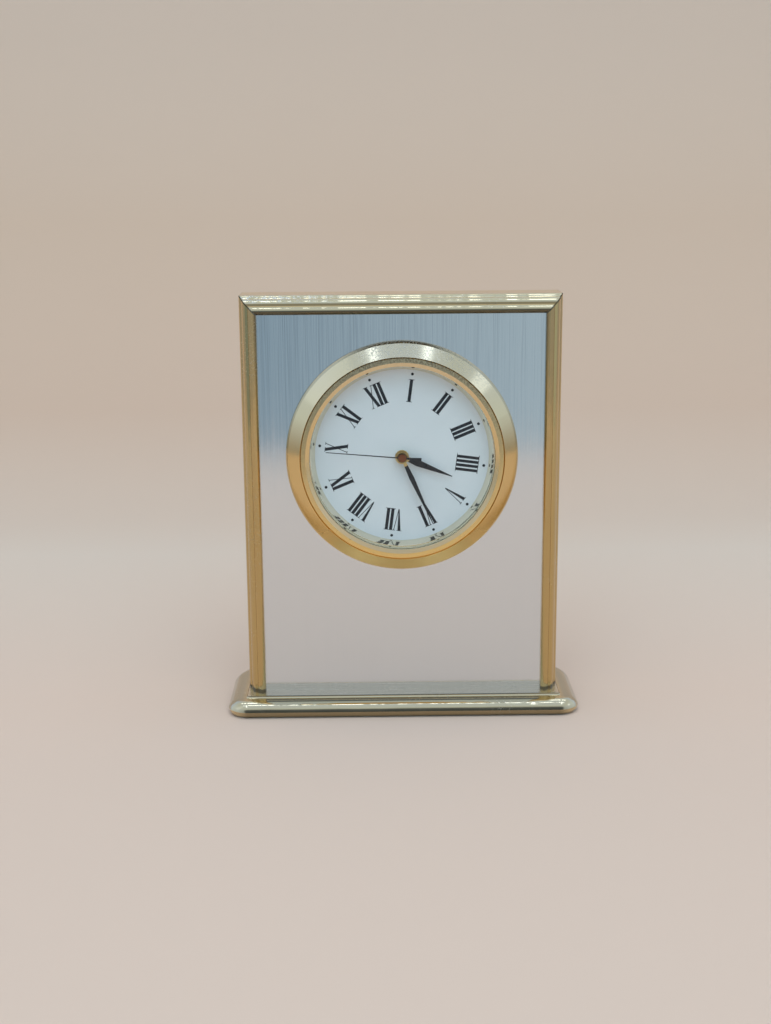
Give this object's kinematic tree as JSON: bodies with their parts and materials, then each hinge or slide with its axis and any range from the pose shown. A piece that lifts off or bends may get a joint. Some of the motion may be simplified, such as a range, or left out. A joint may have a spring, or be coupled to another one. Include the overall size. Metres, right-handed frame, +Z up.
{
  "type": "desk clock",
  "caption": "Desk clock with a brass-framed upright panel on a moulded base and a round push-in quartz insert with Roman numerals.",
  "frame": {"origin": "centre of the clock's footprint on the surface it stands on, at the underside of the felt", "axes": "+X to the viewer's right, -Y to the front where the dial is, +Z up"},
  "size_m": [0.1084, 0.04, 0.1278],
  "materials": {
    "polished_brass": "polished and lacquered, a little worn",
    "brushed_panel": "satin, brushed upright",
    "core_board": "sanded fibreboard",
    "back_black": "fine matt paint",
    "felt": "short felt",
    "steel": "plain steel",
    "glass": "clear, flat",
    "gasket": "clear soft plastic",
    "bright_ring": "polished, pale",
    "dial_white": "matt white print",
    "black_plastic": "moulded, fine grain",
    "band_rubber": "soft moulded plastic",
    "white_plastic": "moulded",
    "wheel_plastic": "acetal, moulded",
    "brass_plain": "turned and cut",
    "magnet": "sintered",
    "copper_wire": "lacquered winding",
    "cell_steel": "bright pressed can",
    "board_green": "lacquered board",
    "chip_black": "potting drop",
    "hand_black": "gloss black"
  },
  "bodies": {
    "case": {"base_plinth": "polished_brass", "base_felt": "felt", "base_screws": "steel", "stile_left": "polished_brass", "stile_right": "polished_brass", "top_rail": "polished_brass", "corner_keys": "steel", "front_panel": "brushed_panel", "core_block": "core_board", "back_plate": "back_black", "back_plate_screws": "steel"},
    "grip_sleeve": {"grip_band": "band_rubber"},
    "insert": {"bezel": "polished_brass", "lens": "glass", "lens_gasket": "gasket", "reflector_ring": "bright_ring", "dial": "dial_white", "insert_cup": "black_plastic", "movement_plate": "white_plastic", "middle_plate": "white_plastic", "movement_bridge": "black_plastic", "bridge_screws": "steel", "stator": "steel", "coil_core": "steel", "coil_bobbin": "black_plastic", "coil_winding": "copper_wire", "button_cell": "cell_steel", "circuit_board": "board_green", "chip_cover": "chip_black", "quartz_crystal": "cell_steel", "minus_contact": "brass_plain", "plus_contact": "brass_plain"},
    "minute": {"centre_wheel": "brass_plain", "minute_tube": "brass_plain", "minute_hand": "hand_black"},
    "hour": {"hour_wheel": "wheel_plastic", "hour_hand": "hand_black"},
    "second": {"seconds_arbor": "steel", "seconds_wheel": "wheel_plastic", "second_hand": "hand_black"},
    "third": {"third_wheel": "wheel_plastic"},
    "setting": {"minute_works_wheel": "wheel_plastic", "setting_knob": "black_plastic"},
    "step": {"step_wheel": "wheel_plastic"},
    "rotor": {"rotor_magnet": "magnet", "rotor_pinion": "wheel_plastic"},
    "hatch": {"battery_hatch": "black_plastic"}
  },
  "joints": [
    {"name": "insert_pull", "type": "slide", "parent": "case", "child": "grip_sleeve", "axis": [0, -1, 0], "range_m": [0, 0.022]},
    {"name": "insert_turn", "type": "hinge", "parent": "grip_sleeve", "child": "insert", "pos_m": [0, 0, 0.0796], "axis": [0, 1, 0], "continuous": true},
    {"name": "minute_turn", "type": "hinge", "parent": "insert", "child": "minute", "pos_m": [0, 0, 0.0796], "axis": [0, 1, 0], "continuous": true},
    {"name": "hour_turn", "type": "hinge", "parent": "insert", "child": "hour", "pos_m": [0, 0, 0.0796], "axis": [0, 1, 0], "continuous": true},
    {"name": "second_turn", "type": "hinge", "parent": "insert", "child": "second", "pos_m": [0, 0, 0.0796], "axis": [0, 1, 0], "continuous": true},
    {"name": "third_turn", "type": "hinge", "parent": "insert", "child": "third", "pos_m": [-0.00645, 0, 0.08045], "axis": [0, 1, 0], "continuous": true},
    {"name": "knob_turn", "type": "hinge", "parent": "insert", "child": "setting", "pos_m": [0.00426, 0, 0.08515], "axis": [0, 1, 0], "continuous": true},
    {"name": "step_turn", "type": "hinge", "parent": "insert", "child": "step", "pos_m": [0.00202, 0, 0.07472], "axis": [0, 1, 0], "continuous": true},
    {"name": "rotor_turn", "type": "hinge", "parent": "insert", "child": "rotor", "pos_m": [0.00384, 0, 0.07032], "axis": [0, 1, 0], "continuous": true},
    {"name": "hatch_turn", "type": "hinge", "parent": "insert", "child": "hatch", "pos_m": [-0.01783, 0, 0.07221], "axis": [0, -1, 0], "range_deg": [0, 45]}
  ],
  "couplings": [
    {"joint": "hour_turn", "follows": "minute_turn", "ratio": 0.083333},
    {"joint": "knob_turn", "follows": "minute_turn", "ratio": -0.33333},
    {"joint": "third_turn", "follows": "minute_turn", "ratio": -8},
    {"joint": "second_turn", "follows": "minute_turn", "ratio": 60},
    {"joint": "step_turn", "follows": "minute_turn", "ratio": -300},
    {"joint": "rotor_turn", "follows": "minute_turn", "ratio": 1800}
  ]
}
